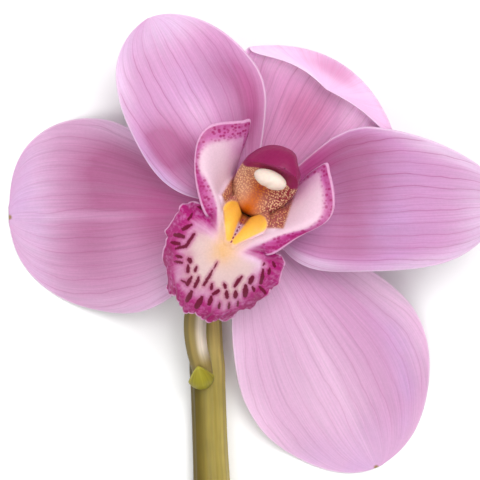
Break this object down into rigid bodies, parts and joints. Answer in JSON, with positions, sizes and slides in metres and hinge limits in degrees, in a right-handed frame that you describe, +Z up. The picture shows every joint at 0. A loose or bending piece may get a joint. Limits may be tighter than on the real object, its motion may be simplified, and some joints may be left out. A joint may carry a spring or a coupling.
{
  "type": "cut orchid stem with one bloom",
  "caption": "Pink orchid bloom with a spotted lip on a short cut stem, lying on its back on a flat surface with the bloom facing up.",
  "frame": {"origin": "on the table, under the middle of the whole object's footprint", "axes": "+Y runs along the lying stem from its cut end to the bloom, +Z up from the table, the way the bloom faces, +X to the right of the bloom as seen from above"},
  "size_m": [0.1219, 0.2144, 0.046],
  "materials": {
    "stem": "olive-green plant skin, satin, finely lined along its length",
    "bract": "yellow-green leaf scale, satin",
    "pedicel": "tan-green plant skin with a pale flank, satin",
    "sepals": "fleshy waxy sepal, pink with fine darker veins, lets some light through",
    "petals": "fleshy waxy petal, pink with fine darker veins, lets some light through",
    "lip": "waxy, white to magenta with dark maroon spots and two yellow keels",
    "column": "waxy, dark maroon outside, speckled orange inside",
    "anther_cap": "cream, soft satin"
  },
  "bodies": {
    "root": {"stem": "stem", "bract": "bract", "pedicel": "pedicel", "lateral_sepal_left": "sepals", "lateral_sepal_right": "sepals", "dorsal_sepal": "sepals", "petal_left": "petals", "petal_right": "petals", "lip": "lip", "column": "column", "anther_cap": "anther_cap"}
  },
  "joints": []
}
